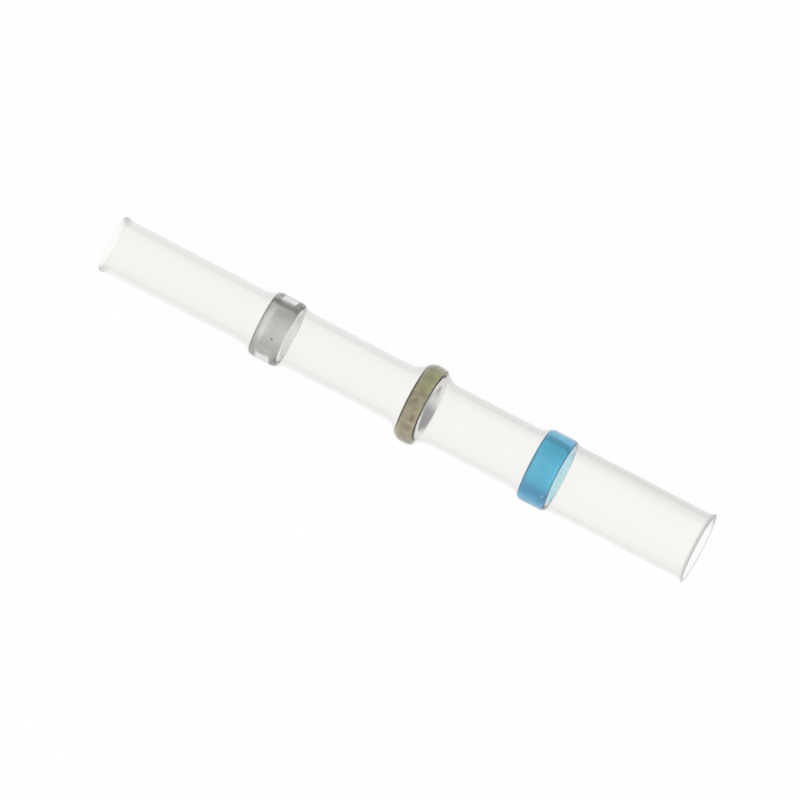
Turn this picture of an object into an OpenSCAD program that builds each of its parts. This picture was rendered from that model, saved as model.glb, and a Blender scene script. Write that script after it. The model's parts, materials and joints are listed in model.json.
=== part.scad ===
// Solder sleeve for two copper wires, lying on its side along X.
// A clear heat-shrink tube has been shrunk a little onto three rings: a solder ring with its
// coat of flux in the middle, and a sealing ring of hot-melt plastic on each side of it.
// The origin is the middle of the solder ring, on the tube's axis. The grey ring is on the
// minus X side, where the tube is narrow, and the blue ring is on the plus X side.

/* [Tube as supplied] */
// Bore of the tubing before any of it has shrunk
supply_bore_d = 4.7; // [4.65:0.05:5.2]
// Wall of the tubing before any of it has shrunk
supply_wall = 0.25; // [0.18:0.01:0.35]

/* [Tube lengths] */
// Length from the middle of the solder ring to the end beyond the grey ring
minus_len = 21.2; // [16:0.1:28]
// Length from the middle of the solder ring to the end beyond the blue ring
plus_len = 18.8; // [14:0.1:26]

/* [Bores of the shrunk tube] */
// Bore of the end stretch beyond the grey ring
grey_end_bore_d = 2.68; // [2.4:0.02:3]
// Bore between the grey ring and the solder ring
grey_mid_bore_d = 2.88; // [2.5:0.02:3.2]
// Bore between the solder ring and the blue ring
blue_mid_bore_d = 3.27; // [2.8:0.01:3.6]
// Bore of the end stretch beyond the blue ring
blue_end_bore_d = 3.71; // [3.4:0.01:3.84]

/* [Cut ends of the tube] */
// Bore at the mouth beyond the grey ring, where the cut has spread it
grey_mouth_d = 2.98; // [2.7:0.02:3.2]
// Length over which that mouth spreads
grey_mouth_len = 0.9; // [0.4:0.1:2]
// Rounding of the outer edge of that mouth
grey_mouth_round = 0.14; // [0.05:0.01:0.2]
// Bore at the mouth beyond the blue ring, where the cut has turned up a thin lip
blue_mouth_d = 4.07; // [3.9:0.01:4.3]
// Length over which that lip turns up
blue_mouth_len = 0.5; // [0.3:0.1:1.5]

/* [Solder ring] */
// Outer diameter of the solder ring with its coat of flux
solder_d = 4.58; // [4.3:0.01:4.6]
// Bore of the solder ring, which the bare strands go through
solder_bore_d = 3.1; // [2.6:0.05:3.6]
// Width of the solder ring along the tube
solder_w = 1.33; // [1.1:0.01:1.6]
// Width of the flat stretch at the top of its crowned outside
solder_flat_w = 0.2; // [0.05:0.01:0.3]
// Fall of the crown from its top to the edges of the ring
solder_crown_fall = 0.26; // [0.15:0.01:0.35]
// Rounding of the two edges of its bore
solder_bore_round = 0.18; // [0.05:0.01:0.3]
// Thickness of the coat of flux on the outside of the ring
flux_t = 0.08; // [0.05:0.01:0.12]

/* [Grey sealing ring] */
// Distance from the middle of the solder ring to the middle of the grey ring
grey_at = 9.87; // [7:0.01:12]
// Outer diameter of the grey ring
grey_d = 3.55; // [3.4:0.01:3.8]
// Wall of the grey ring
grey_wall = 0.37; // [0.25:0.01:0.5]
// Width of the grey ring along the tube
grey_w = 1.85; // [1.5:0.01:2.4]

/* [Blue sealing ring] */
// Distance from the middle of the solder ring to the middle of the blue ring
blue_at = 8.55; // [7:0.01:11]
// Outer diameter of the blue ring
blue_d = 4.09; // [3.95:0.01:4.3]
// Wall of the blue ring
blue_wall = 0.42; // [0.3:0.01:0.5]
// Width of the blue ring along the tube
blue_w = 1.82; // [1.5:0.01:2.4]

/* [Melted edges of both sealing rings] */
// Width of each rounded outer edge along the tube
seal_edge_w = 0.32; // [0.2:0.01:0.5]
// Fall of each rounded outer edge
seal_edge_fall = 0.12; // [0.06:0.01:0.16]
// Rounding of the two edges of the bore
seal_bore_round = 0.1; // [0.04:0.01:0.12]

/* [Fit of the tube on the rings] */
// Clearance between a ring and the tube that has shrunk onto it
seat_gap = 0.02; // [0.01:0.005:0.05]
// Length over which the tube draws in beside the solder ring
solder_draw_len = 0.95; // [0.7:0.05:1.6]
// Length over which the tube draws in beside a sealing ring
seal_draw_len = 0.85; // [0.6:0.05:1.6]

/* [Hidden] */
$fn = 96;
ARC_STEPS = 6;
DRAW_STEPS = 7;
MOUTH_STEPS = 5;
ROUND_STEPS = 4;

// Largest share of its length at which a drawn-in stretch of tube may still point at its end
KNEE_SHARE = 0.8;

// The tube keeps its plastic as it shrinks, so the squares of its two radii always differ by this
supply_r = supply_bore_d / 2;
tube_plastic = pow(supply_r + supply_wall, 2) - pow(supply_r, 2);

solder_half_w = solder_w / 2;
solder_edge_w = solder_half_w - solder_flat_w / 2;

// Outer radius of the tube where its bore has radius r
function tube_outer_r(r) = sqrt(r * r + tube_plastic);

// Slope that an arc of width w has reached once it has fallen by fall
function edge_lean(w, fall) = 2 * atan(fall / w);

// Outside of a ring as [x, r] points: a flat stretch with an arc on each side, edge_w wide,
// that falls by fall from the top to the ring's edge
function ring_top(at, outer_r, half_w, edge_w, fall) =
    let (
        lean = edge_lean(edge_w, fall),
        arc_r = edge_w / sin(lean),
        flat = half_w - edge_w
    )
    concat(
        [for (i = [ARC_STEPS : -1 : 0])
            let (a = lean * i / ARC_STEPS)
            [at - flat - arc_r * sin(a), outer_r - arc_r * (1 - cos(a))]],
        [for (i = [0 : ARC_STEPS])
            let (a = lean * i / ARC_STEPS)
            [at + flat + arc_r * sin(a), outer_r - arc_r * (1 - cos(a))]]
    );

// Curve by which the tube leaves a ring's edge at its slope and draws in to radius end_r
// within draw_len, as [x, r] points; side is -1 or 1, and the edge point itself is left out
function draw_in(edge, lean, end_r, draw_len, side) =
    let (knee = min((edge[1] - end_r) / tan(lean), KNEE_SHARE * draw_len))
    [for (i = [1 : DRAW_STEPS])
        let (t = i / DRAW_STEPS)
        [edge[0] + side * (2 * t * (1 - t) * knee + t * t * draw_len),
         edge[1] * pow(1 - t, 2) + end_r * (1 - pow(1 - t, 2))]];

// Bore of the tube over one ring, from the stretch before it to the stretch after it
function seat(at, outer_r, half_w, edge_w, fall, before_r, after_r, draw_len) =
    let (
        lean = edge_lean(edge_w, fall),
        top = ring_top(at, outer_r + seat_gap, half_w, edge_w, fall),
        before = draw_in(top[0], lean, before_r, draw_len, -1),
        after = draw_in(top[len(top) - 1], lean, after_r, draw_len, 1)
    )
    concat([for (i = [len(before) - 1 : -1 : 0]) before[i]], top, after);

// Radius of a cut mouth at share t of the way from the straight bore to the cut
function mouth_r(bore_d, mouth_d, t) = bore_d / 2 + (mouth_d - bore_d) / 2 * t * t;

// Spread of a cut mouth as [x, r] points, from the straight bore out to the cut
function mouth(end_x, bore_d, mouth_d, spread_len, side) =
    [for (i = [0 : MOUTH_STEPS])
        let (t = i / MOUTH_STEPS)
        [end_x - side * spread_len * (1 - t), mouth_r(bore_d, mouth_d, t)]];

function reversed(points) = [for (i = [len(points) - 1 : -1 : 0]) points[i]];

grey_mouth = mouth(-minus_len, grey_end_bore_d, grey_mouth_d, grey_mouth_len, -1);
grey_seat = seat(-grey_at, grey_d / 2, grey_w / 2, seal_edge_w, seal_edge_fall,
    grey_end_bore_d / 2, grey_mid_bore_d / 2, seal_draw_len);
solder_seat = seat(0, solder_d / 2, solder_half_w, solder_edge_w, solder_crown_fall,
    grey_mid_bore_d / 2, blue_mid_bore_d / 2, solder_draw_len);
blue_seat = seat(blue_at, blue_d / 2, blue_w / 2, seal_edge_w, seal_edge_fall,
    blue_mid_bore_d / 2, blue_end_bore_d / 2, seal_draw_len);
blue_mouth = mouth(plus_len, blue_end_bore_d, blue_mouth_d, blue_mouth_len, 1);

// Whole bore of the tube from minus X to plus X, as [x, r] points
tube_bore = concat(reversed(grey_mouth), grey_seat, solder_seat, blue_seat, blue_mouth);

// Outer radius of the tube where the rounding of its first edge ends
round_end_r =
    tube_outer_r(mouth_r(grey_end_bore_d, grey_mouth_d, 1 - grey_mouth_round / grey_mouth_len));

// Outside of the tube at the same places, with the first edge rounded off
tube_outside = concat(
    [for (i = [0 : ROUND_STEPS])
        let (a = 90 * i / ROUND_STEPS)
        [-minus_len + grey_mouth_round * (1 - cos(a)), round_end_r - grey_mouth_round * (1 - sin(a))]],
    [for (p = tube_bore) if (p[0] > -minus_len + grey_mouth_round) [p[0], tube_outer_r(p[1])]]
);

// Turns an outline of [x, r] points into a solid around the X axis
module turned(outline) {
    rotate([0, 90, 0]) rotate_extrude()
        polygon([for (p = outline) [p[1], p[0]]]);
}

// Bore of a ring with rounded edges, from plus X back to minus X, as [x, r] points
function ring_bore(at, bore_r, half_w, round_r) = concat(
    [for (i = [0 : ROUND_STEPS])
        let (a = 90 * i / ROUND_STEPS)
        [at + half_w - round_r * (1 - cos(a)), bore_r + round_r * (1 - sin(a))]],
    [for (i = [0 : ROUND_STEPS])
        let (a = 90 * i / ROUND_STEPS)
        [at - half_w + round_r * (1 - sin(a)), bore_r + round_r * (1 - cos(a))]]
);

// Sealing ring of hot-melt plastic with its outer edges melted round
module seal_ring(at, outer_d, wall, width) {
    turned(concat(
        ring_top(at, outer_d / 2, width / 2, seal_edge_w, seal_edge_fall),
        ring_bore(at, outer_d / 2 - wall, width / 2, seal_bore_round)
    ));
}

// Clear tube: one piece, drawn down over the rings and thicker where it has shrunk more
module sleeve_tube() {
    color([0.93, 0.93, 0.91, 0.45]) turned(concat(tube_bore, reversed(tube_outside)));
}

module grey_seal_ring() {
    color([0.70, 0.70, 0.68]) seal_ring(-grey_at, grey_d, grey_wall, grey_w);
}

// Solder ring, bright metal at its bore and side faces, with a crowned outside under the flux
module solder_ring() {
    color([0.66, 0.67, 0.70]) turned(concat(
        ring_top(0, solder_d / 2 - flux_t, solder_half_w, solder_edge_w, solder_crown_fall),
        ring_bore(0, solder_bore_d / 2, solder_half_w, solder_bore_round)
    ));
}

// Olive coat of dried flux on the outside of the solder ring
module flux_coat() {
    color([0.55, 0.53, 0.42]) turned(concat(
        ring_top(0, solder_d / 2, solder_half_w, solder_edge_w, solder_crown_fall),
        reversed(ring_top(0, solder_d / 2 - flux_t, solder_half_w, solder_edge_w, solder_crown_fall))
    ));
}

module blue_seal_ring() {
    color([0.36, 0.65, 0.82]) seal_ring(blue_at, blue_d, blue_wall, blue_w);
}

sleeve_tube();
grey_seal_ring();
solder_ring();
flux_coat();
blue_seal_ring();
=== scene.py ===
"""Solder sleeve: a clear heat-shrink tube on a fluxed solder ring and two hot-melt sealing rings.

The sleeve lies along X with the middle of its solder ring at the origin. Its sizes come from the
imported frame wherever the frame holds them, and otherwise from the properties below.
"""
import json
import math

import bpy
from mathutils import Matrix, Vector


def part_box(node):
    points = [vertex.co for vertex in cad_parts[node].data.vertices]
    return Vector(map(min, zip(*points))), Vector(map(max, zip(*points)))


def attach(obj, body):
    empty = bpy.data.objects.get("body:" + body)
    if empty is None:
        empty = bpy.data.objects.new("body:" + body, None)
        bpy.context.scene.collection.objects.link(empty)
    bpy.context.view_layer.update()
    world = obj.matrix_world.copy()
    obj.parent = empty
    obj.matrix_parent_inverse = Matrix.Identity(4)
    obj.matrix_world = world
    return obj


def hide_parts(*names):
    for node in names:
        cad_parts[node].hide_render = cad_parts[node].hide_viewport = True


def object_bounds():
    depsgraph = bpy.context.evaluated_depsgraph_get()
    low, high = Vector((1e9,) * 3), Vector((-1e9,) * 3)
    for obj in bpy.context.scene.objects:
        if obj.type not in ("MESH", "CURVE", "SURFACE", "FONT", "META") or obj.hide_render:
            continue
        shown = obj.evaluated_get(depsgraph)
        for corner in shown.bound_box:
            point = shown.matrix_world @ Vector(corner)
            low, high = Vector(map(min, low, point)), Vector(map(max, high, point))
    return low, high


bl_info = {
    "name": "Solder sleeve",
    "version": (1, 0, 0),
    "blender": (4, 5, 0),
    "location": "View3D > Sidebar > Solder sleeve",
    "description": "Models a solder sleeve, its finishes and the stage that it is seen on",
    "category": "Object",
}

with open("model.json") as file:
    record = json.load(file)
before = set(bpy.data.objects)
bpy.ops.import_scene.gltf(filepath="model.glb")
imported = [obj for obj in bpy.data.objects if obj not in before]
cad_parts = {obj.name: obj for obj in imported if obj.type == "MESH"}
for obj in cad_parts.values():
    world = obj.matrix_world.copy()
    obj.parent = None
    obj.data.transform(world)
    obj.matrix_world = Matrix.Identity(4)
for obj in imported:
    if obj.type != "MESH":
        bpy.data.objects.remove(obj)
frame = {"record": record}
CAD_BOX = [list(corner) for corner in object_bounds()]

MM = 0.001

# Steps of the spun meshes: round the axis, in a ring's arc, in a drawn-in stretch, in a cut mouth
# and in a rounded edge, and the longest step along the tube
TURN_STEPS = 96
ARC_STEPS = 10
DRAW_STEPS = 14
MOUTH_STEPS = 10
ROUND_STEPS = 6
LONG_STEP = 0.45 * MM

# Largest share of a drawn-in stretch after which the slope that it starts with may end
KNEE_SHARE = 0.8
# Parts of a ring's flat stretch, of which one is left and one slopes on each side of a hollow
HOLLOW_PARTS = 12
# Points that lie closer are one, and faces that meet at less are one smooth surface
MERGE_GAP = MM / 10000
SMOOTH_ANGLE = math.radians(40)

MOUNTS = {mount["name"]: mount for mount in frame["record"]["mounts"]}


def bore_d(mount_name):
    """Bore of one of the record's mounts, in metres."""
    return 2 * MOUNTS[mount_name]["dims"]["r_mm"] * MM


def extent(node):
    """Lowest x, highest x and outer radius of a node that is turned round the X axis."""
    low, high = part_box(node)
    return low.x, high.x, high.y


def linear(code):
    """Linear colour of an sRGB hex code."""
    shares = [int(code[i:i + 2], 16) / 255 for i in (1, 3, 5)]
    return [s / 12.92 if s <= 0.04045 else ((s + 0.055) / 1.055) ** 2.4 for s in shares]


def length_property(name, description, default):
    """Property for a length that a user would change."""
    return bpy.props.FloatProperty(
        name=name, description=description, default=default, min=0.0, unit="LENGTH", precision=6)


def colour_property(name, description, code):
    """Property for a colour that a user would change."""
    return bpy.props.FloatVectorProperty(
        name=name, description=description, default=linear(code), min=0.0, max=1.0,
        size=3, subtype="COLOR")


class SleeveSizes(bpy.types.PropertyGroup):
    """Sizes of the sleeve, in metres."""

    grey_end_bore: length_property(
        "Grey end bore", "Bore of the end stretch beyond the grey ring", bore_d("grey_wire_end"))
    grey_mid_bore: length_property(
        "Grey middle bore", "Bore between the grey ring and the solder ring", 2.88 * MM)
    blue_mid_bore: length_property(
        "Blue middle bore", "Bore between the solder ring and the blue ring", 3.27 * MM)
    blue_end_bore: length_property(
        "Blue end bore", "Bore of the end stretch beyond the blue ring", bore_d("blue_wire_end"))
    grey_mouth: length_property(
        "Grey mouth", "Bore at the cut beyond the grey ring", 2.98 * MM)
    grey_mouth_len: length_property(
        "Grey mouth length", "Length over which that mouth spreads", 0.9 * MM)
    grey_mouth_round: length_property(
        "Grey mouth rounding", "Rounding of the outer edge of that mouth", 0.14 * MM)
    blue_mouth: length_property(
        "Blue mouth", "Bore at the cut beyond the blue ring", 4.07 * MM)
    blue_mouth_len: length_property(
        "Blue mouth length", "Length over which that mouth spreads to a lip", 0.5 * MM)
    blue_lip_round: length_property(
        "Blue lip rounding", "Rounding of the outer edge of that lip", 0.05 * MM)
    seat_gap: length_property(
        "Seat gap", "Clearance between a ring and the tube that has shrunk onto it", 0.02 * MM)
    solder_draw: length_property(
        "Solder draw", "Length over which the tube draws in beside the solder ring", 0.95 * MM)
    seal_draw: length_property(
        "Seal draw", "Length over which the tube draws in beside a sealing ring", 0.85 * MM)
    solder_flat: length_property(
        "Solder flat", "Width of the flat stretch at the top of the solder ring's crown", 0.2 * MM)
    solder_fall: length_property(
        "Solder fall", "Fall of the solder ring's crown from its top to its edges", 0.26 * MM)
    solder_bore_round: length_property(
        "Solder bore rounding", "Rounding of the two edges of the solder ring's bore", 0.18 * MM)
    seal_edge: length_property(
        "Seal edge", "Width of a sealing ring's rounded outer edge", 0.32 * MM)
    seal_fall: length_property(
        "Seal fall", "Fall of a sealing ring's rounded outer edge", 0.12 * MM)
    seal_bore_round: length_property(
        "Seal bore rounding", "Rounding of the two edges of a sealing ring's bore", 0.1 * MM)
    bond: length_property(
        "Bond", "Depth by which the sealing rings and the flux wet the tube's wall", 0.008 * MM)
    grey_hollow: length_property(
        "Grey hollow", "Depth of the hollow that keeps the grey ring's middle off the tube",
        0.02 * MM)
    waver: length_property(
        "Waver", "Height of the slow unevenness that shrinking leaves on the tube", 0.05 * MM)
    solder_trim: length_property(
        "Solder trim", "Length that the solder ring's blue side, cut askew, lacks at its top",
        0.2 * MM)


class SleeveFinish(bpy.types.PropertyGroup):
    """Colours of the sleeve's materials."""

    tube: colour_property("Tube", "Light that 1 mm of the clear plastic lets through", "#F6F6F6")
    tube_skin: colour_property("Tube, skin", "Faintly warm skin of the clear plastic", "#FFFEFC")
    # Also the painted shade at the minus mouth's corners and over the grey ring's sides
    tube_lip_and_shade: colour_property("Tube, lips", "Cut lips, frosted by the blade", "#C4C6C8")
    # Painted light: the pale lower skin makes the far wall seen through a ring look lit
    seal_under_painted_light: colour_property(
        "Seals, lower side", "Pale skin of both sealing rings below", "#FAFCFC")
    grey: colour_property(
        "Grey seal", "Light that 1 mm of the grey plastic lets through", "#E8E8E6")
    grey_skin: colour_property("Grey seal, skin", "Skin of the grey ring's upper side", "#F8F7F5")
    # Painted light on the front of the grey ring's upper side
    grey_front_painted_light: colour_property(
        "Grey seal, front", "Skin of its upper side towards the front", "#FFFFFD")
    # Painted shade: a thin dark line beside the grey ring's cut face
    grey_edge_shade: colour_property(
        "Grey seal, rim", "Edge of the grey ring pressed by the blade", "#B0B0AC")
    blue: colour_property(
        "Blue seal", "Light that 1 mm of the blue plastic lets through", "#94E8FF")
    blue_skin: colour_property("Blue seal, skin", "Skin of the blue ring's upper side", "#8EE7FC")
    # Painted shade on the front of the blue ring's upper side
    blue_front_painted_shade: colour_property(
        "Blue seal, front", "Skin of its upper side towards the front", "#6CBADA")
    # Painted shade: thin dark lines beside the blue ring's cut faces
    blue_edge_shade: colour_property(
        "Blue seal, rim", "Edge of the blue ring pressed by the blade", "#4A80A0")
    solder: colour_property("Solder", "Tin-bismuth solder, dulled by handling", "#BABDC2")
    # Painted highlight on the solder towards both sides; also the flux's lower edges
    solder_bright: colour_property(
        "Solder, bright", "Solder where the blade wiped it or the flux left it bare", "#F4F4F2")
    flux_olive: colour_property("Flux, olive", "Dried flux where it lies thick", "#B5B683")
    flux_brown: colour_property("Flux, brown", "Dried flux that was overheated", "#9C8A70")
    # Also the paleness of the flux's bubbles, painted as their highlights
    flux_beige: colour_property("Flux, beige", "Dried flux where it lies thin", "#D2C8A8")
    # Dark lines along both edges of the ring's upper side
    flux_dark: colour_property("Flux, dark", "Flux that ran to the ring's edges", "#332D24")


def sizes():
    """The sleeve's sizes in the open scene."""
    return bpy.context.scene.sleeve_sizes


def finish():
    """The sleeve's colours in the open scene."""
    return bpy.context.scene.sleeve_finish


# Outlines, as lists of (x, r) points


def edge_lean(width, fall):
    """Slope that an arc of that width has reached once it has fallen by fall."""
    return 2 * math.atan2(fall, width)


def ring_top(at, outer_r, half_w, edge_w, fall):
    """Outside of a ring: a flat stretch with an arc on each side that falls to the ring's edge."""
    lean = edge_lean(edge_w, fall)
    arc_r = edge_w / math.sin(lean)
    flat = half_w - edge_w
    angles = [lean * i / ARC_STEPS for i in range(ARC_STEPS + 1)]
    arc = [(flat + arc_r * math.sin(a), outer_r - arc_r * (1 - math.cos(a))) for a in angles]
    return [(at - x, r) for x, r in reversed(arc)] + [(at + x, r) for x, r in arc]


def hollowed(top, depth):
    """Outside of a ring with the middle of its flat stretch shallowly hollowed."""
    half = len(top) // 2
    (low, r), (high, _) = top[half - 1], top[half]
    step = (high - low) / HOLLOW_PARTS
    hollow = [(low + step, r), (low + 2 * step, r - depth),
              (high - 2 * step, r - depth), (high - step, r)]
    return top[:half] + hollow + top[half:]


def draw_in(edge, lean, end_r, draw_len, side):
    """Curve by which the tube leaves a ring's edge at its slope and draws in to radius end_r."""
    knee = min((edge[1] - end_r) / math.tan(lean), KNEE_SHARE * draw_len)
    shares = [i / DRAW_STEPS for i in range(1, DRAW_STEPS + 1)]
    return [(edge[0] + side * (2 * t * (1 - t) * knee + t * t * draw_len),
             edge[1] * (1 - t) ** 2 + end_r * (1 - (1 - t) ** 2)) for t in shares]


def seat(at, outer_r, half_w, edge_w, fall, before_r, after_r, draw_len):
    """Bore of the tube over one ring, from the stretch before it to the stretch after it."""
    lean = edge_lean(edge_w, fall)
    top = ring_top(at, outer_r + sizes().seat_gap, half_w, edge_w, fall)
    before = draw_in(top[0], lean, before_r, draw_len, -1)
    after = draw_in(top[-1], lean, after_r, draw_len, 1)
    return before[::-1] + top + after


def mouth(end_x, bore, mouth_bore, spread_len, side):
    """Spread of a cut mouth, from the straight bore out to the cut."""
    shares = [i / MOUTH_STEPS for i in range(MOUTH_STEPS + 1)]
    return [(end_x - side * spread_len * (1 - t), bore / 2 + (mouth_bore - bore) / 2 * t * t)
            for t in shares]


def ring_bore(at, bore_r, half_w, round_r):
    """Bore of a ring with rounded edges, from plus X back to minus X."""
    angles = [math.pi / 2 * i / ROUND_STEPS for i in range(ROUND_STEPS + 1)]
    plus = [(at + half_w - round_r * (1 - math.cos(a)), bore_r + round_r * (1 - math.sin(a)))
            for a in angles]
    minus = [(at - half_w + round_r * (1 - math.sin(a)), bore_r + round_r * (1 - math.cos(a)))
             for a in angles]
    return plus + minus


def with_short_steps(outline):
    """The same outline with points added so that no step along the tube is long."""
    filled = []
    for here, there in zip(outline, outline[1:]):
        steps = max(1, math.ceil(abs(there[0] - here[0]) / LONG_STEP))
        filled += [(here[0] + (there[0] - here[0]) * i / steps,
                    here[1] + (there[1] - here[1]) * i / steps) for i in range(steps)]
    return filled + [outline[-1]]


def tube_walls():
    """Bore and outside of the shrunk tube, which keeps its plastic wherever it has drawn in."""
    s = sizes()
    minus_x, plus_x, tube_r = extent("sleeve_tube")
    flux_low, flux_high, flux_r = extent("flux_coat")
    plastic = tube_r ** 2 - (flux_r + s.seat_gap) ** 2
    solder_half = (flux_high - flux_low) / 2

    def seal_seat(node, before_bore, after_bore):
        low, high, outer_r = extent(node)
        return seat((low + high) / 2, outer_r, (high - low) / 2, s.seal_edge, s.seal_fall,
                    before_bore / 2, after_bore / 2, s.seal_draw)

    grey_mouth = mouth(minus_x, s.grey_end_bore, s.grey_mouth, s.grey_mouth_len, -1)
    blue_mouth = mouth(plus_x, s.blue_end_bore, s.blue_mouth, s.blue_mouth_len, 1)
    solder_seat = seat((flux_low + flux_high) / 2, flux_r, solder_half,
                       solder_half - s.solder_flat / 2, s.solder_fall,
                       s.grey_mid_bore / 2, s.blue_mid_bore / 2, s.solder_draw)
    bore = with_short_steps(
        grey_mouth[::-1]
        + seal_seat("grey_seal_ring", s.grey_end_bore, s.grey_mid_bore)
        + solder_seat
        + seal_seat("blue_seal_ring", s.blue_mid_bore, s.blue_end_bore)
        + blue_mouth)
    outside = [(x, math.sqrt(r * r + plastic)) for x, r in bore]
    return bore, outside


def rounded_ends(outside, minus_round, plus_round):
    """The tube's outside with its two cut edges rounded off."""
    angles = [math.pi / 2 * i / ROUND_STEPS for i in range(ROUND_STEPS + 1)]
    minus_x, plus_x = outside[0][0], outside[-1][0]
    kept = [p for p in outside if minus_x + minus_round < p[0] < plus_x - plus_round]
    minus_r, plus_r = kept[0][1], kept[-1][1]
    start = [(minus_x + minus_round * (1 - math.cos(a)), minus_r - minus_round * (1 - math.sin(a)))
             for a in angles]
    end = [(plus_x - plus_round * (1 - math.sin(a)), plus_r - plus_round * (1 - math.cos(a)))
           for a in angles]
    return start + kept + end


# Modelling steps


def deselect_all():
    """Leaves nothing selected, in object mode."""
    if bpy.context.object and bpy.context.object.mode != "OBJECT":
        bpy.ops.object.mode_set(mode="OBJECT")
    bpy.ops.object.select_all(action="DESELECT")


def turned(name, outline):
    """Draws a closed outline stroke by stroke and spins it round the X axis into a solid."""
    deselect_all()
    bpy.ops.mesh.primitive_plane_add(size=MM, location=(0, 0, 0))
    piece = bpy.context.object
    piece.name = piece.data.name = name
    bpy.ops.object.mode_set(mode="EDIT")
    bpy.ops.mesh.select_all(action="SELECT")
    bpy.ops.mesh.merge(type="CENTER")
    bpy.ops.transform.translate(value=(outline[0][0], 0, outline[0][1]))
    for here, there in zip(outline, outline[1:] + outline[:1]):
        bpy.ops.mesh.extrude_vertices_move(
            TRANSFORM_OT_translate={"value": (there[0] - here[0], 0, there[1] - here[1])})
    bpy.ops.mesh.select_all(action="SELECT")
    bpy.ops.mesh.remove_doubles(threshold=MERGE_GAP)
    bpy.ops.mesh.spin(steps=TURN_STEPS, angle=math.tau, center=(0, 0, 0), axis=(1, 0, 0))
    bpy.ops.mesh.select_all(action="SELECT")
    bpy.ops.mesh.remove_doubles(threshold=MERGE_GAP)
    bpy.ops.mesh.normals_make_consistent(inside=False)
    bpy.ops.object.mode_set(mode="OBJECT")
    return piece


def waver(piece):
    """Gives a piece the slow unevenness of a tube that was shrunk by hot air."""
    for axis, grain, side in (("Y", 7 * MM, 1), ("Z", 5 * MM, -1)):
        clouds = bpy.data.textures.new("hot_air_" + axis, "CLOUDS")
        clouds.noise_scale = grain
        clouds.noise_depth = 1
        bpy.ops.object.modifier_add(type="DISPLACE")
        push = piece.modifiers[-1]
        push.texture = clouds
        push.texture_coords = "LOCAL"
        push.direction = axis
        push.strength = sizes().waver * side
        bpy.ops.object.modifier_apply(modifier=push.name)


def cut_askew(piece, face_x, edge_r, trim):
    """Trims one end face of a ring so that it lacks trim at its top and nothing at its bottom."""
    outwards = math.copysign(1, face_x)
    deselect_all()
    bpy.context.view_layer.objects.active = piece
    piece.select_set(True)
    bpy.ops.object.mode_set(mode="EDIT")
    bpy.ops.mesh.select_all(action="SELECT")
    bpy.ops.mesh.bisect(
        plane_co=(face_x - outwards * trim / 2, 0, 0),
        plane_no=(outwards, 0, trim / (2 * edge_r)),
        clear_outer=True, threshold=MERGE_GAP)
    bpy.ops.mesh.select_all(action="DESELECT")
    bpy.ops.mesh.select_non_manifold()
    bpy.ops.mesh.bridge_edge_loops()
    bpy.ops.mesh.select_all(action="SELECT")
    bpy.ops.mesh.normals_make_consistent(inside=False)
    bpy.ops.object.mode_set(mode="OBJECT")


def finished(piece, material, slot, *nodes):
    """Smooths a piece, gives it its material and lets it ride in place of its nodes."""
    bpy.ops.object.shade_smooth_by_angle(angle=SMOOTH_ANGLE)
    piece.data.materials.clear()
    piece.data.materials.append(material)
    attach(piece, "root")
    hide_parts(*nodes)


# Materials

# Index of the clear plastics, and what it is matched to away from the rings, where the real wall is
# so even that it hardly bends what is behind it
PLASTIC_IOR = 1.49
EVEN_WALL_IOR = 1.002
# Index of the coat on a sealing ring where air lies beside it, which mirrors more than the plastic
AIR_GAP_IOR = 2.4
# Share of the light that the frosted end faces of a sealing ring scatter
FACE_MILK = 0.75

# Directions in which the upper side and the far side of the lying sleeve face
UPWARDS = (0.0, -0.25, 0.97)
FARWARDS = (0.0, 0.97, 0.25)
# Place, radius and colour of the one speck in each sealing ring
GREY_SPECK = (Vector((-9.654, -1.063, 1.445)) * MM, 0.05 * MM, "#4C4C4A")
BLUE_SPECK = (Vector((9.149, -1.798, 1.015)) * MM, 0.05 * MM, "#A8D4EC")


def add_node(tree, kind, inputs=None, **settings):
    """Adds a node with its settings, and sets or links its inputs.

    A node that is given as an input stands for its first output.
    """
    node = tree.nodes.new(kind)
    for name, value in settings.items():
        setattr(node, name, value)
    for name, value in (inputs or {}).items():
        if isinstance(value, bpy.types.Node):
            value = value.outputs[0]
        if isinstance(value, bpy.types.NodeSocket):
            tree.links.new(value, node.inputs[name])
        else:
            node.inputs[name].default_value = value
    return node


def opaque(colour):
    """Colour with an alpha of 1, as a colour socket takes it."""
    return (*colour, 1.0)


def bare_material(name):
    """New node material with nothing in its tree but the output."""
    material = bpy.data.materials.new(name)
    material.use_nodes = True
    material.node_tree.nodes.clear()
    return material, material.node_tree, material.node_tree.nodes.new("ShaderNodeOutputMaterial")


def clear_material(name, through_1mm):
    """New material for clear plastic that lets through that colour of light after 1 mm."""
    material, tree, output = bare_material(name)
    taken = [-math.log(share) / MM for share in through_1mm]
    # A little denser than the strongest colour needs, so that none of the node's colours is 0
    headroom = 1.01
    density = headroom * max(taken)
    depth = add_node(tree, "ShaderNodeVolumeAbsorption", {
        "Color": opaque([1 - k / density for k in taken]), "Density": density})
    tree.links.new(depth.outputs["Volume"], output.inputs["Volume"])
    return material, tree, output


def near(tree, along, centre, reach, blur):
    """Value that is 1 within reach of a place on one axis and falls to 0 over blur beyond it.

    With a reach of 0, blur may be a node.
    """
    off = add_node(tree, "ShaderNodeMath", {0: along, 1: centre}, operation="SUBTRACT")
    distance = add_node(tree, "ShaderNodeMath", {0: off}, operation="ABSOLUTE")
    return add_node(tree, "ShaderNodeMapRange", {
        "Value": distance, "From Min": reach, "From Max": reach + blur if reach else blur,
        "To Min": 1.0, "To Max": 0.0}, interpolation_type="SMOOTHSTEP")


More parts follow.
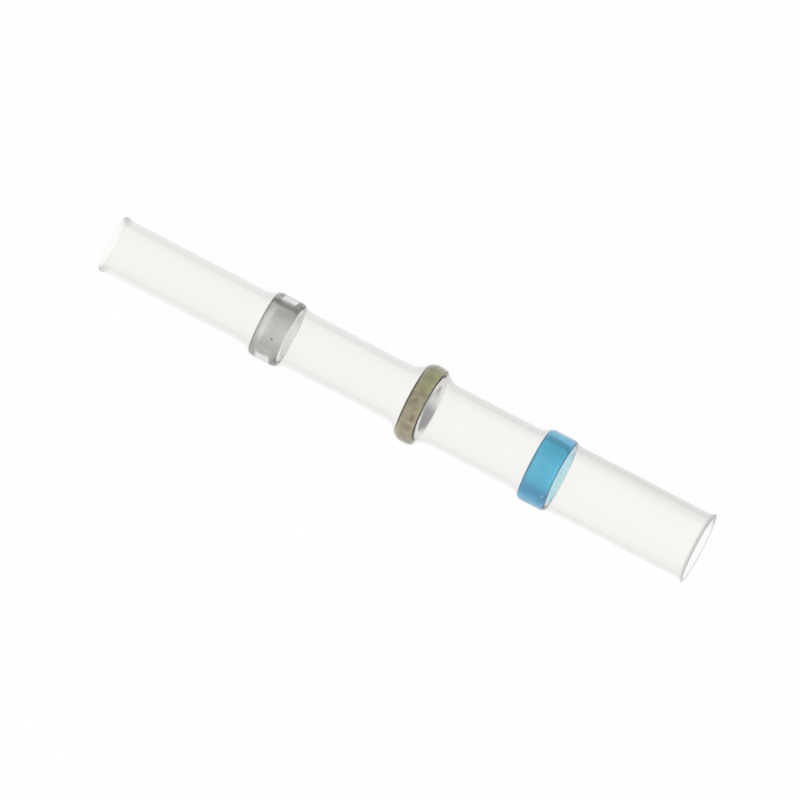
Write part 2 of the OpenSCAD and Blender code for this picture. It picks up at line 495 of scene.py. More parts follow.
def speck(tree, place, centre, radius):
    """Value that is 1 within a small round speck and falls to 0 at twice its radius."""
    off = add_node(tree, "ShaderNodeVectorMath", {0: place, 1: centre}, operation="DISTANCE")
    return add_node(tree, "ShaderNodeMapRange", {
        "Value": off.outputs["Value"], "From Min": radius, "From Max": 2 * radius,
        "To Min": 1.0, "To Max": 0.0}, interpolation_type="SMOOTHSTEP")


def from_axis(tree, place):
    """Distance of a place from the sleeve's axis."""
    across = add_node(tree, "ShaderNodeVectorMath", {0: place, 1: (0, 1, 1)}, operation="MULTIPLY")
    return add_node(tree, "ShaderNodeVectorMath", {0: across}, operation="LENGTH").outputs["Value"]


def on_upper_side(tree, place, outer_r):
    """Value that is 1 on the upper side of a ring and 0 on its lower side."""
    fade_from, fade_to = -0.12 * outer_r, 0.08 * outer_r
    height = add_node(tree, "ShaderNodeVectorMath", {0: place, 1: UPWARDS}, operation="DOT_PRODUCT")
    return add_node(tree, "ShaderNodeMapRange", {
        "Value": height.outputs["Value"], "From Min": fade_from, "From Max": fade_to})


def heat_shrink_polyolefin():
    """Clear cross-linked polyolefin, extruded and then shrunk by hot air.

    The plastic is faintly milky, so thick walls seen edge-on go grey. It bends the light strongly
    only where it is tight on a ring, whose colour it carries outwards. The blade frosted its cut
    lips, and the plus one is greyer over a longer stretch at its top. Painted shade lies at the
    corners of the minus mouth and over the two sides of the grey ring.
    """
    material, tree, output = clear_material(
        "clear heat-shrink polyolefin, extruded and shrunk", finish().tube)
    place = add_node(tree, "ShaderNodeTexCoord").outputs["Object"]
    axes = add_node(tree, "ShaderNodeSeparateXYZ", {"Vector": place})
    x = axes.outputs["X"]
    s, mouth_r = sizes(), sizes().grey_mouth / 2
    minus_x, plus_x, _ = extent("sleeve_tube")
    grey_low, grey_high, _ = extent("grey_seal_ring")
    blue_low, blue_high, _ = extent("blue_seal_ring")
    flux_low, flux_high, _ = extent("flux_coat")

    # Index, high where the tube is tight on a ring
    tight_fade = 0.04 * MM
    tight = 0
    for low, high in ((grey_low, grey_high), (blue_low, blue_high),
                      (flux_low, flux_high - s.solder_trim)):
        over_ring = near(tree, x, (low + high) / 2, (high - low) / 2 - tight_fade, tight_fade)
        tight = add_node(tree, "ShaderNodeMath", {0: tight, 1: over_ring}, operation="ADD")
    ior = add_node(tree, "ShaderNodeMapRange", {
        "Value": tight, "To Min": EVEN_WALL_IOR, "To Max": PLASTIC_IOR})

    # Plus lip, greyer over a longer stretch at its top
    bottom_lip_len, top_lip_len = 0.06 * MM, 0.32 * MM
    frosted_len = add_node(tree, "ShaderNodeMapRange", {
        "Value": axes.outputs["Z"], "From Min": -s.blue_mouth / 4, "From Max": s.blue_mouth / 4,
        "To Min": bottom_lip_len, "To Max": top_lip_len})
    plus_lip = near(tree, x, plus_x, 0.0, frosted_len)

    # Minus mouth: a faint lip, and painted shade at its outer corners, both left off at its top
    lip_len, lip_share = 0.1 * MM, 0.2
    skin_from, skin_to = mouth_r + 0.05 * MM, mouth_r + 0.12 * MM
    corner_len, corner_fade = 0.1 * MM, 0.45 * MM
    corner_from, corner_to, corner_share = 0.8 * mouth_r, 1.1 * mouth_r, 0.8
    fade_from, fade_to = 0.2 * mouth_r, 0.6 * mouth_r
    faint_lip = add_node(tree, "ShaderNodeMath", {
        0: near(tree, x, minus_x, 0.0, lip_len), 1: lip_share}, operation="MULTIPLY")
    on_outside = add_node(tree, "ShaderNodeMapRange", {
        "Value": from_axis(tree, place), "From Min": skin_from, "From Max": skin_to})
    at_mouth = add_node(tree, "ShaderNodeMath", {
        0: near(tree, x, minus_x, corner_len, corner_fade), 1: on_outside}, operation="MULTIPLY")
    sideways = add_node(tree, "ShaderNodeVectorMath", {
        0: place, 1: FARWARDS}, operation="DOT_PRODUCT")
    off_middle = add_node(tree, "ShaderNodeMath", {
        0: sideways.outputs["Value"]}, operation="ABSOLUTE")
    at_corners = add_node(tree, "ShaderNodeMapRange", {
        "Value": off_middle, "From Min": corner_from, "From Max": corner_to,
        "To Max": corner_share})
    lip_and_corners = add_node(tree, "ShaderNodeMath", {
        0: at_mouth, 1: at_corners, 2: faint_lip}, operation="MULTIPLY_ADD")
    height = add_node(tree, "ShaderNodeVectorMath", {0: place, 1: UPWARDS}, operation="DOT_PRODUCT")
    below_top = add_node(tree, "ShaderNodeMapRange", {
        "Value": height.outputs["Value"], "From Min": fade_from, "From Max": fade_to,
        "To Min": 1.0, "To Max": 0.0})
    minus_end = add_node(tree, "ShaderNodeMath", {
        0: lip_and_corners, 1: below_top}, operation="MULTIPLY")
    both_ends = add_node(tree, "ShaderNodeMath", {0: minus_end, 1: plus_lip}, operation="ADD")

    # Painted shade over the two sides of the grey ring
    side_shade_from, side_shade_to, side_shade_share = 0.7 * mouth_r, 0.95 * mouth_r, 0.42
    side_shade_fade = 0.1 * MM
    beside = add_node(tree, "ShaderNodeMath", {0: axes.outputs["Y"]}, operation="ABSOLUTE")
    side_shade = add_node(tree, "ShaderNodeMapRange", {
        "Value": beside, "From Min": side_shade_from, "From Max": side_shade_to, "To Max": side_shade_share})
    over_grey = near(tree, x, (grey_low + grey_high) / 2,
                     (grey_high - grey_low) / 2 - side_shade_fade, side_shade_fade)
    # Frosted lips, together with the painted shade at the mouth's corners and beside the grey ring
    frosted = add_node(tree, "ShaderNodeMath", {
        0: side_shade, 1: over_grey, 2: both_ends}, operation="MULTIPLY_ADD", use_clamp=True)
    skin = add_node(tree, "ShaderNodeMix", {
        0: frosted, 6: opaque(finish().tube_skin), 7: opaque(finish().tube_lip_and_shade)}, data_type="RGBA")
    surface = add_node(tree, "ShaderNodeBsdfPrincipled", {
        "Base Color": skin.outputs[2], "Roughness": 0.08, "IOR": ior, "Transmission Weight": 1.0,
        "Coat Weight": 0.25, "Coat Roughness": 0.12})
    tree.links.new(surface.outputs["BSDF"], output.inputs["Surface"])
    return material


def hot_melt(name, through_1mm, skin, front, rim, lined, gloss, bore_milk, spot, at, half_w,
             bore_r, outer_r):
    """Hot-melt sealing plastic, cut from an extruded tube and softened by the shrinking.

    Its colour is in its depth, so it is deeper at the edges, where the light runs along the wall.
    The bore is frosted in clouds, so the wall blurs what is behind it, and the far wall seen past
    it is pale. The skin is painted pale below, as painted light on the far wall seen through the
    ring. In front it has a tone that is painted light on the grey ring and painted shade on the
    blue one, and there it also has gloss if the tube has lifted off it. The cut end faces are
    frosted more and catch the light as pale lines, a thin dark line of painted shade lies beside
    those on the lined sides, and one speck lies under the skin.
    """
    material, tree, output = clear_material(name, through_1mm)
    place = add_node(tree, "ShaderNodeTexCoord").outputs["Object"]
    axes = add_node(tree, "ShaderNodeSeparateXYZ", {"Vector": place})
    x, radius = axes.outputs["X"], from_axis(tree, place)
    upper = on_upper_side(tree, place, outer_r)
    front_from, front_to = -0.6 * outer_r, -0.85 * outer_r
    in_front = add_node(tree, "ShaderNodeMapRange", {
        "Value": axes.outputs["Y"], "From Min": front_from, "From Max": front_to},
        interpolation_type="SMOOTHSTEP")

    # Cut faces of the upper side, and the lines of painted shade beside them
    frosted_len, line_len = 0.05 * MM, 0.04 * MM
    line_at = half_w - 2 * frosted_len
    at_faces = add_node(tree, "ShaderNodeMath", {
        0: 1.0, 1: near(tree, x, at, line_at, frosted_len)}, operation="SUBTRACT")
    glazed = add_node(tree, "ShaderNodeMath", {0: at_faces, 1: upper}, operation="MULTIPLY")
    lines = 0
    for side in lined:
        line = near(tree, x, at + side * line_at, line_len / 2, line_len)
        lines = add_node(tree, "ShaderNodeMath", {0: line, 1: lines}, operation="ADD")
    edged = add_node(tree, "ShaderNodeMath", {0: lines, 1: upper}, operation="MULTIPLY")

    # Skin: painted pale below, as light on the far wall seen through the ring, and in front
    # painted light on the grey ring and painted shade on the blue one
    speck_at, speck_r, speck_colour = spot
    in_speck = speck(tree, place, speck_at, speck_r)
    upper_skin = add_node(tree, "ShaderNodeMix", {
        0: in_front, 6: opaque(skin), 7: opaque(front)}, data_type="RGBA")
    both_skins = add_node(tree, "ShaderNodeMix", {
        0: upper, 6: opaque(finish().seal_under_painted_light), 7: upper_skin.outputs[2]}, data_type="RGBA")
    # The rim colour is a line of painted shade
    edged_skin = add_node(tree, "ShaderNodeMix", {
        0: edged, 6: both_skins.outputs[2], 7: opaque(rim)}, data_type="RGBA")
    specked_skin = add_node(tree, "ShaderNodeMix", {
        0: in_speck, 6: edged_skin.outputs[2], 7: opaque(linear(speck_colour))}, data_type="RGBA")
    bore_roughness, skin_roughness = 0.15, 0.1
    roughness = add_node(tree, "ShaderNodeMapRange", {
        "Value": radius, "From Min": bore_r, "From Max": outer_r,
        "To Min": bore_roughness, "To Max": skin_roughness})

    # Clearness, less in the clouds of the bore, at the cut faces and in the speck
    cloud_size, cloud_from, cloud_to = 1.5 * MM, 0.25, 0.75
    most_milk, least_milk = 1.5 * bore_milk, 0.5 * bore_milk
    clouds = add_node(tree, "ShaderNodeTexNoise", {
        "Vector": place, "Scale": 1 / cloud_size, "Detail": 0.0})
    clear_bore = add_node(tree, "ShaderNodeMapRange", {
        "Value": clouds, "From Min": cloud_from, "From Max": cloud_to,
        "To Min": 1 - most_milk, "To Max": 1 - least_milk}, interpolation_type="SMOOTHSTEP")
    clear_wall = add_node(tree, "ShaderNodeMapRange", {
        "Value": radius, "From Min": bore_r, "From Max": outer_r,
        "To Min": clear_bore, "To Max": 1.0})
    off_faces = add_node(tree, "ShaderNodeMapRange", {
        "Value": glazed, "To Min": 1.0, "To Max": 1 - FACE_MILK})
    off_speck = add_node(tree, "ShaderNodeMath", {0: 1.0, 1: in_speck}, operation="SUBTRACT")
    off_both = add_node(tree, "ShaderNodeMath", {0: off_faces, 1: off_speck}, operation="MINIMUM")
    clear = add_node(tree, "ShaderNodeMath", {0: clear_wall, 1: off_both}, operation="MINIMUM")

    # Gloss, at the cut faces and in front where the tube has lifted off the ring's middle
    lifted_reach, lifted_fade = 0.3 * half_w, 0.55 * half_w
    front_gloss = add_node(tree, "ShaderNodeMath", {0: in_front, 1: gloss}, operation="MULTIPLY")
    lifted_off = add_node(tree, "ShaderNodeMath", {
        0: front_gloss, 1: near(tree, x, at, lifted_reach, lifted_fade)}, operation="MULTIPLY")
    glossy = add_node(tree, "ShaderNodeMath", {0: glazed, 1: lifted_off}, operation="MAXIMUM")
    surface = add_node(tree, "ShaderNodeBsdfPrincipled", {
        "Base Color": specked_skin.outputs[2], "Roughness": roughness,
        "IOR": PLASTIC_IOR, "Transmission Weight": clear,
        "Coat Weight": glossy, "Coat IOR": AIR_GAP_IOR})
    tree.links.new(surface.outputs["BSDF"], output.inputs["Surface"])
    return material


def tin_bismuth_solder():
    """Low-melting solder, cut from hollow wire and left bright under the tube.

    Soft metal takes a fine grain from the blade, so its highlights spread a little, and its colour
    is brighter towards both sides of the ring, as painted highlights.
    """
    material, tree, output = bare_material("tin-bismuth solder, cut bright")
    place = add_node(tree, "ShaderNodeTexCoord").outputs["Object"]
    grain_size, grain_depth = 0.12 * MM, 0.01 * MM
    grain = add_node(tree, "ShaderNodeTexNoise", {
        "Vector": place, "Scale": 1 / grain_size, "Detail": 3.0})
    smoothest, roughest = 0.38, 0.5
    roughness = add_node(tree, "ShaderNodeMapRange", {
        "Value": grain, "To Min": smoothest, "To Max": roughest})
    bump = add_node(tree, "ShaderNodeBump", {
        "Height": grain, "Strength": 0.35, "Distance": grain_depth})
    y = add_node(tree, "ShaderNodeSeparateXYZ", {"Vector": place}).outputs["Y"]
    bore_r = bore_d("solder_bore") / 2
    # Painted highlights: the colour is brighter towards both sides of the ring
    far_from, far_to = 0.1 * bore_r, 0.6 * bore_r
    front_from, front_to = -0.5 * bore_r, -0.85 * bore_r
    highlight_far = add_node(tree, "ShaderNodeMapRange", {
        "Value": y, "From Min": far_from, "From Max": far_to}, interpolation_type="SMOOTHSTEP")
    highlight_front = add_node(tree, "ShaderNodeMapRange", {
        "Value": y, "From Min": front_from, "From Max": front_to})
    # Both painted highlights together
    wiped = add_node(tree, "ShaderNodeMath", {0: highlight_far, 1: highlight_front}, operation="MAXIMUM")
    tone = add_node(tree, "ShaderNodeMix", {
        0: wiped, 6: opaque(finish().solder), 7: opaque(finish().solder_bright)}, data_type="RGBA")
    surface = add_node(tree, "ShaderNodeBsdfPrincipled", {
        "Base Color": tone.outputs[2], "Metallic": 1.0, "Roughness": roughness, "Normal": bump})
    tree.links.new(surface.outputs["BSDF"], output.inputs["Surface"])
    return material


def dried_flux():
    """Rosin flux, painted on the ring and dried to a glassy coat.

    It is olive where it lies thick, brown where it got hot and beige where it drained thin, it has
    a few small bubbles, painted pale as their highlights, and dark lines run along both edges of
    the ring's upper side. The edges of the lower side show bright solder.
    """
    material, tree, output = bare_material("dried rosin flux, painted")
    place = add_node(tree, "ShaderNodeTexCoord").outputs["Object"]
    axes = add_node(tree, "ShaderNodeSeparateXYZ", {"Vector": place})
    y = axes.outputs["Y"]

    # Olive and brown patches, browner towards the front
    patch_size = 1.2 * MM
    heat_from, heat_to, front_heat = 1.6 * MM, -0.2 * MM, 0.12
    brown_from, brown_to = 0.48, 0.68
    patches = add_node(tree, "ShaderNodeTexNoise", {
        "Vector": place, "Scale": 1 / patch_size, "Detail": 1.0})
    hotter = add_node(tree, "ShaderNodeMapRange", {
        "Value": y, "From Min": heat_from, "From Max": heat_to, "To Max": front_heat})
    heat = add_node(tree, "ShaderNodeMath", {0: patches, 1: hotter}, operation="ADD")
    olive_to_brown = add_node(tree, "ShaderNodeMapRange", {
        "Value": heat, "From Min": brown_from, "From Max": brown_to})
    thick = add_node(tree, "ShaderNodeMix", {
        0: olive_to_brown, 6: opaque(finish().flux_olive),
        7: opaque(finish().flux_brown)}, data_type="RGBA")

    # Beige flecks, more of them towards the front
    fleck_size, fleck_depth = 0.45 * MM, 0.03 * MM
    drain_to, front_drain = -2 * MM, 0.12
    beige_from, beige_to = 0.42, 0.85
    flecks = add_node(tree, "ShaderNodeTexNoise", {
        "Vector": place, "Scale": 1 / fleck_size, "Detail": 1.0})
    drained = add_node(tree, "ShaderNodeMapRange", {
        "Value": y, "From Min": 0.0, "From Max": drain_to, "To Max": front_drain})
    thinness = add_node(tree, "ShaderNodeMath", {0: flecks, 1: drained}, operation="ADD")
    thin_places = add_node(tree, "ShaderNodeMapRange", {
        "Value": thinness, "From Min": beige_from, "From Max": beige_to})

    # Bubbles painted pale as highlights, in a few cells of their pattern, a part of a cell wide
    bubble_spacing, empty_share, bubble_share = 0.4 * MM, 0.7, 0.7
    bubble_from, bubble_to = 0.1, 0.2
    bubbles = add_node(tree, "ShaderNodeTexVoronoi", {"Vector": place, "Scale": 1 / bubble_spacing})
    chance = add_node(tree, "ShaderNodeSeparateColor", {"Color": bubbles.outputs["Color"]})
    picked = add_node(tree, "ShaderNodeMath", {0: chance, 1: empty_share}, operation="GREATER_THAN")
    in_bubble = add_node(tree, "ShaderNodeMapRange", {
        "Value": bubbles.outputs["Distance"], "From Min": bubble_from, "From Max": bubble_to,
        "To Min": bubble_share, "To Max": 0.0})
    bubble = add_node(tree, "ShaderNodeMath", {0: picked, 1: in_bubble}, operation="MULTIPLY")
    paler = add_node(tree, "ShaderNodeMath", {0: thin_places, 1: bubble}, operation="MAXIMUM")
    coat = add_node(tree, "ShaderNodeMix", {
        0: paler, 6: thick.outputs[2], 7: opaque(finish().flux_beige)}, data_type="RGBA")

    # Lines along the two edges, of which the plus one is cut askew
    line_w, line_end, hidden_len = 0.06 * MM, 0.102 * MM, 0.08 * MM
    low, high, outer_r = extent("flux_coat")
    edge_r = outer_r - sizes().solder_fall
    cut_x = add_node(tree, "ShaderNodeMapRange", {
        "Value": axes.outputs["Z"], "From Min": -edge_r, "From Max": edge_r,
        "To Min": high, "To Max": high - sizes().solder_trim})
    to_plus = add_node(tree, "ShaderNodeMath", {
        0: cut_x, 1: axes.outputs["X"]}, operation="SUBTRACT")
    to_minus = add_node(tree, "ShaderNodeMath", {
        0: axes.outputs["X"], 1: low + hidden_len}, operation="SUBTRACT")
    to_edge = add_node(tree, "ShaderNodeMath", {0: to_plus, 1: to_minus}, operation="MINIMUM")
    line = add_node(tree, "ShaderNodeMapRange", {
        "Value": to_edge, "From Min": line_w, "From Max": line_end, "To Min": 1.0, "To Max": 0.0})
    edge_tone = add_node(tree, "ShaderNodeMix", {
        0: on_upper_side(tree, place, edge_r), 6: opaque(finish().solder_bright),
        7: opaque(finish().flux_dark)}, data_type="RGBA")
    whole = add_node(tree, "ShaderNodeMix", {
        0: line, 6: coat.outputs[2], 7: edge_tone.outputs[2]}, data_type="RGBA")
    bump = add_node(tree, "ShaderNodeBump", {
        "Height": flecks, "Strength": 0.5, "Distance": fleck_depth})
    surface = add_node(tree, "ShaderNodeBsdfPrincipled", {
        "Base Color": whole.outputs[2], "Roughness": 0.35, "IOR": 1.54, "Normal": bump})
    tree.links.new(surface.outputs["BSDF"], output.inputs["Surface"])
    return material


# Operators, one for each piece or group of like pieces and one for the stage


class SLEEVE_OT_tube(bpy.types.Operator):
    """Model the clear heat-shrink tube"""

    bl_idname = "sleeve.tube"
    bl_label = "Tube"

    def execute(self, context):
        """Turn the tube's two walls into one solid."""
        bore, outside = tube_walls()
        outside = rounded_ends(outside, sizes().grey_mouth_round, sizes().blue_lip_round)
        piece = turned("clear_tube", bore + outside[::-1])
        waver(piece)
        finished(piece, heat_shrink_polyolefin(), "clear_tube", "sleeve_tube")
        return {"FINISHED"}


class SLEEVE_OT_seals(bpy.types.Operator):
    """Model the grey and the blue sealing ring"""

    bl_idname = "sleeve.seals"
    bl_label = "Sealing rings"

    def execute(self, context):
        """Turn each ring at its node's place, with its skin wetting the tube."""
        s, f = sizes(), finish()
        # Front tone: painted light on grey, painted shade on blue. Rim: lines of painted shade
        rings = (
            ("grey_seal_ring", "grey_seal_bore", "grey_seal", "grey_hot_melt", s.grey_hollow, {
                "name": "natural grey hot-melt plastic, extruded", "through_1mm": f.grey,
                "skin": f.grey_skin, "front": f.grey_front_painted_light, "rim": f.grey_edge_shade, "lined": (-1,),
                "gloss": 0.5, "bore_milk": 0.28, "spot": GREY_SPECK}),
            ("blue_seal_ring", "blue_seal_bore", "blue_seal", "blue_hot_melt", 0.0, {
                "name": "sky-blue hot-melt plastic, extruded", "through_1mm": f.blue,
                "skin": f.blue_skin, "front": f.blue_front_painted_shade, "rim": f.blue_edge_shade, "lined": (-1, 1),
                "gloss": 0.0, "bore_milk": 0.24, "spot": BLUE_SPECK}),
        )
        for node, bore_mount, name, slot, hollow, look in rings:
            low, high, outer_r = extent(node)
            at, half_w, bore_r = (low + high) / 2, (high - low) / 2, bore_d(bore_mount) / 2
            top = ring_top(at, outer_r + s.seat_gap + s.bond, half_w, s.seal_edge, s.seal_fall)
            piece = turned(name, with_short_steps(
                hollowed(top, hollow) + ring_bore(at, bore_r, half_w, s.seal_bore_round)))
            waver(piece)
            material = hot_melt(**look, at=at, half_w=half_w, bore_r=bore_r, outer_r=outer_r)
            finished(piece, material, slot, node)
        return {"FINISHED"}


class SLEEVE_OT_solder(bpy.types.Operator):
    """Model the solder ring and its coat of flux"""

    bl_idname = "sleeve.solder"
    bl_label = "Solder ring and flux"

    def execute(self, context):
        """Turn the metal ring and the thin coat on its crowned outside."""
        s = sizes()
        low, high, flux_r = extent("flux_coat")
        solder_r = extent("solder_ring")[2]
        at, half_w = (low + high) / 2, (high - low) / 2
        edge_w = half_w - s.solder_flat / 2

        def crown(outer_r):
            return ring_top(at, outer_r, half_w, edge_w, s.solder_fall)

        ring = turned("solder_ring_metal", with_short_steps(
            crown(solder_r)
            + ring_bore(at, bore_d("solder_bore") / 2, half_w, s.solder_bore_round)))
        coat = turned("flux_coating", crown(flux_r + s.seat_gap + s.bond) + crown(solder_r)[::-1])
        for piece in (ring, coat):
            cut_askew(piece, high, flux_r - s.solder_fall, s.solder_trim)
        finished(ring, tin_bismuth_solder(), "solder", "solder_ring")
        finished(coat, dried_flux(), "flux", "flux_coat")
        return {"FINISHED"}


# Width of the square image, and of the camera's sensor in millimetres
IMAGE_PX = 800
SENSOR_MM = 36
# Angles measured in the photograph: the tube's axis below the horizontal, and how far its wide
# end is turned towards the camera
AXIS_DROP = math.radians(27.51)
END_TURN = math.radians(7.6)
# The camera's distance, the width that it sees and the image place of the solder ring's middle
CAMERA_DISTANCE = 700 * MM
FIELD_W = 47.94 * MM
MIDDLE_PX = (422.1, 404.5)
# Side of the floor, and the lamp's place, sides and power in watts
FLOOR_W = 1.2
LAMP_PLACE = (-0.15, -0.35, 0.55)
LAMP_W, LAMP_H = 0.9, 0.7
LAMP_POWER = 2.6
# Share of the floor that is plain white for the camera and for rays that come out of a piece
WHITE_IN_CAMERA = 0.96
WHITE_IN_PIECES = 0.98
# Strength of the surround as the matt surfaces get it
SURROUND_STRENGTH = 0.7
# Surfaces that a ray may pass, and that may mirror it, because the clear walls lie in layers
MAX_BOUNCES = 24
MAX_MIRRORINGS = 16
WHITE = (1, 1, 1, 1)


def out_of_a_piece(tree, path):
    """Value that is 1 for a ray that a piece has mirrored or let through."""
    return add_node(tree, "ShaderNodeMath", {
        0: path.outputs["Is Glossy Ray"], 1: path.outputs["Is Transmission Ray"]},
        operation="MAXIMUM")


class SLEEVE_OT_stage(bpy.types.Operator):
    """Set up the floor, the light and the camera"""

    bl_idname = "sleeve.stage"
    bl_label = "Stage"

    def execute(self, context):
        """Lay a pale floor under the sleeve, light it softly and aim the camera."""
        self.lay_floor()
        self.light()
        self.aim_camera()
        cycles = context.scene.cycles
        cycles.max_bounces = cycles.transmission_bounces = MAX_BOUNCES
        cycles.glossy_bounces = MAX_MIRRORINGS
        context.scene.view_settings.view_transform = "Standard"
        return {"FINISHED"}

    def far_stripes(self, tree, path):
        """Value for two greyer stripes of the floor that only rays out of the sleeve see.

        They stand in for a surround that is darker on the far side. The faint one gives the tube
        its grey upper band and the deep one the rings their dark upper band. The deep one counts
        only for rays that have crossed more than four surfaces, so that the bare tube stays clear,
        and it is fainter beside the blue ring.
        """
        faint_y, faint_fade, faint_share = 3.0 * MM, 1.3 * MM, 0.24
        deep_y, deep_reach, deep_fade = 35 * MM, 29.2 * MM, 1.6 * MM
        blue_x, blue_share, surfaces = 5 * MM, 0.6, 4.5
        place = add_node(tree, "ShaderNodeTexCoord").outputs["Object"]
        axes = add_node(tree, "ShaderNodeSeparateXYZ", {"Vector": place})
        x, y = axes.outputs["X"], axes.outputs["Y"]
        faint = add_node(tree, "ShaderNodeMath", {
            0: near(tree, y, faint_y, 0.0, faint_fade), 1: faint_share}, operation="MULTIPLY")
        by_ring = add_node(tree, "ShaderNodeMapRange", {
            "Value": x, "From Min": 0.0, "From Max": blue_x, "To Min": 1.0, "To Max": blue_share})
        deep = add_node(tree, "ShaderNodeMath", {
            0: near(tree, y, deep_y, deep_reach, deep_fade), 1: by_ring}, operation="MULTIPLY")
        through_ring = add_node(tree, "ShaderNodeMath", {
            0: path.outputs["Transmission Depth"], 1: surfaces}, operation="GREATER_THAN")
        both = add_node(tree, "ShaderNodeMath", {
            0: deep, 1: through_ring, 2: faint}, operation="MULTIPLY_ADD", use_clamp=True)
        not_seen = add_node(tree, "ShaderNodeMath", {
            0: 1.0, 1: path.outputs["Is Camera Ray"]}, operation="SUBTRACT")
        return add_node(tree, "ShaderNodeMath", {0: both, 1: not_seen}, operation="MULTIPLY")

    def lay_floor(self):
        """Pale floor that the solder bulge rests on, and which keeps the sleeve's shadow."""
        deselect_all()
        bpy.ops.mesh.primitive_plane_add(size=FLOOR_W, location=(0, 0, CAD_BOX[0][2]))
        floor = bpy.context.object
        floor.name = "floor"
        material, tree, output = bare_material("matt white card")
        card = add_node(tree, "ShaderNodeBsdfDiffuse", {"Color": opaque(linear("#F8F8F6"))})
        path = add_node(tree, "ShaderNodeLightPath")
        tone = add_node(tree, "ShaderNodeMix", {
            0: self.far_stripes(tree, path), 6: WHITE, 7: opaque(linear("#7C7E80"))},
            data_type="RGBA")
        plain = add_node(tree, "ShaderNodeEmission", {"Color": tone.outputs[2], "Strength": 1.0})
        in_camera = add_node(tree, "ShaderNodeMath", {
            0: path.outputs["Is Camera Ray"], 1: WHITE_IN_CAMERA}, operation="MULTIPLY")
        in_pieces = add_node(tree, "ShaderNodeMath", {
            0: out_of_a_piece(tree, path), 1: WHITE_IN_PIECES}, operation="MULTIPLY")
        share = add_node(tree, "ShaderNodeMath", {0: in_camera, 1: in_pieces}, operation="MAXIMUM")
        mixed = add_node(tree, "ShaderNodeMixShader", {0: share, 1: card, 2: plain})
        tree.links.new(mixed.outputs["Shader"], output.inputs["Surface"])
        floor.data.materials.append(material)

    def light(self):
        """One large soft lamp over the sleeve, and a pale surround.

        The camera sees the surround white. All other rays find it greyer on its far side, and it
        lights matt surfaces less than it shows in glossy and clear ones.
        """
        deselect_all()
        bpy.ops.object.light_add(type="AREA", location=LAMP_PLACE)
        lamp = bpy.context.object
        lamp.name = "soft_lamp"
        lamp.data.shape = "RECTANGLE"
        lamp.data.size, lamp.data.size_y = LAMP_W, LAMP_H
        lamp.data.energy = LAMP_POWER
        lamp.visible_glossy = lamp.visible_transmission = False
        lamp.rotation_euler = (-lamp.location).to_track_quat("-Z", "Y").to_euler()
        world = bpy.data.worlds.new("pale_surround")
        bpy.context.scene.world = world
        world.use_nodes = True
        tree = world.node_tree
        tree.nodes.clear()
        towards = add_node(tree, "ShaderNodeSeparateXYZ", {
            "Vector": add_node(tree, "ShaderNodeTexCoord").outputs["Generated"]})
        grey_from, grey_to = 0.1, 0.6
        far_side = add_node(tree, "ShaderNodeMapRange", {
            "Value": towards.outputs["Y"], "From Min": grey_from, "From Max": grey_to})
        tone = add_node(tree, "ShaderNodeMix", {
            0: far_side, 6: WHITE, 7: opaque(linear("#D8DADA"))}, data_type="RGBA")
        on_matt = add_node(tree, "ShaderNodeBackground", {
            "Color": tone.outputs[2], "Strength": SURROUND_STRENGTH})
        in_pieces = add_node(tree, "ShaderNodeBackground", {
            "Color": tone.outputs[2], "Strength": 1.0})
        in_camera = add_node(tree, "ShaderNodeBackground", {"Color": WHITE, "Strength": 1.0})
        path = add_node(tree, "ShaderNodeLightPath")
        with_pieces = add_node(tree, "ShaderNodeMixShader", {
            0: out_of_a_piece(tree, path), 1: on_matt, 2: in_pieces})
        with_camera = add_node(tree, "ShaderNodeMixShader", {
            0: path.outputs["Is Camera Ray"], 1: with_pieces, 2: in_camera})
        output = add_node(tree, "ShaderNodeOutputWorld")
        tree.links.new(with_camera.outputs["Shader"], output.inputs["Surface"])

    def aim_camera(self):
        """Put the camera at the photograph's angle, level, with the solder ring at its place."""
        drop, turn = math.tan(AXIS_DROP) ** 2, math.sin(END_TURN) ** 2
        elevation = math.asin(math.sqrt(drop * (1 - turn) / (turn + drop)))
        azimuth = math.asin(math.sin(END_TURN) / math.cos(elevation))
        back = Vector((math.sin(azimuth) * math.cos(elevation),
                       -math.cos(azimuth) * math.cos(elevation), math.sin(elevation)))
        right = Vector((math.cos(azimuth), math.sin(azimuth), 0))
        up = back.cross(right)
        px = FIELD_W / IMAGE_PX
        aim = (right * (IMAGE_PX / 2 - MIDDLE_PX[0]) - up * (IMAGE_PX / 2 - MIDDLE_PX[1])) * px
        deselect_all()
        bpy.ops.object.camera_add(location=aim + back * CAMERA_DISTANCE)
        camera = bpy.context.object
        camera.rotation_euler = back.to_track_quat("Z", "Y").to_euler()
        camera.data.sensor_width = SENSOR_MM
        camera.data.lens = SENSOR_MM * CAMERA_DISTANCE / FIELD_W
        camera.data.clip_start, camera.data.clip_end = 0.01, 10
        bpy.context.scene.camera = camera


class SLEEVE_PT_panel(bpy.types.Panel):
    """Sidebar panel with the sleeve's pieces, sizes and colours"""

    bl_idname = "SLEEVE_PT_panel"
    bl_label = "Solder sleeve"
    bl_space_type = "VIEW_3D"
    bl_region_type = "UI"
    bl_category = "Solder sleeve"

    def draw(self, context):
        """List the operators, then every size and colour."""
        for operator in OPERATORS:
            self.layout.operator(operator.bl_idname)
        for group in (sizes(), finish()):
            box = self.layout.box()
            for name in group.__annotations__:
                box.prop(group, name)


OPERATORS = (SLEEVE_OT_tube, SLEEVE_OT_seals, SLEEVE_OT_solder, SLEEVE_OT_stage)
CLASSES = (SleeveSizes, SleeveFinish, *OPERATORS, SLEEVE_PT_panel)


def register():
    """Add the classes and give the scene its sizes and colours."""
    for cls in CLASSES:
        bpy.utils.register_class(cls)
    bpy.types.Scene.sleeve_sizes = bpy.props.PointerProperty(type=SleeveSizes)
    bpy.types.Scene.sleeve_finish = bpy.props.PointerProperty(type=SleeveFinish)


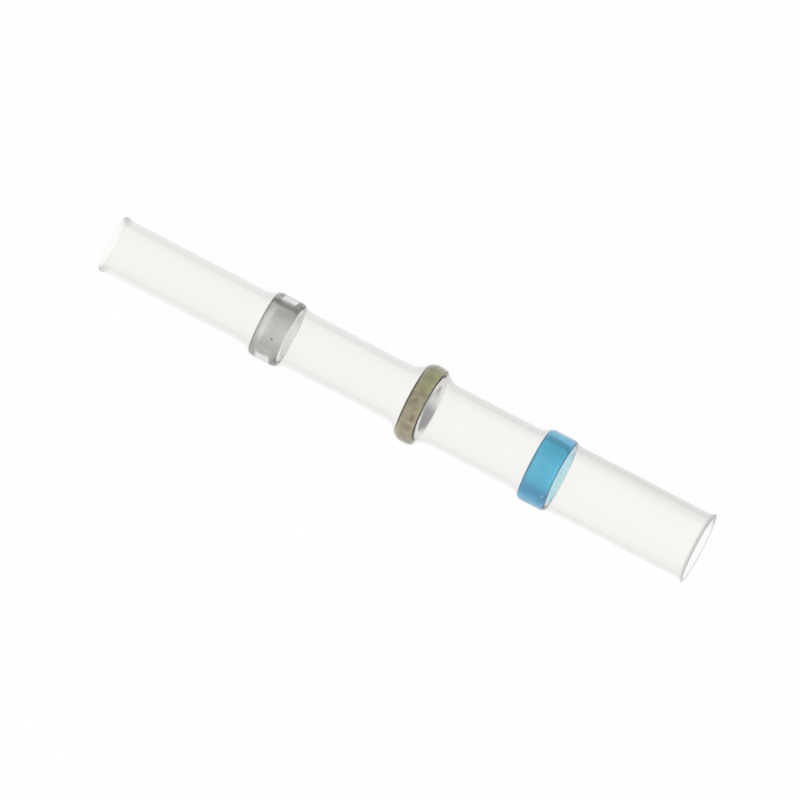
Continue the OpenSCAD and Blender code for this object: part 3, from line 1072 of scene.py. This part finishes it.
def unregister():
    """Take away what register added."""
    del bpy.types.Scene.sleeve_finish
    del bpy.types.Scene.sleeve_sizes
    for cls in reversed(CLASSES):
        bpy.utils.unregister_class(cls)


def main():
    register()
    bpy.ops.sleeve.tube()
    bpy.ops.sleeve.seals()
    bpy.ops.sleeve.solder()
    bpy.ops.sleeve.stage()


if __name__ == "__main__":
    main()
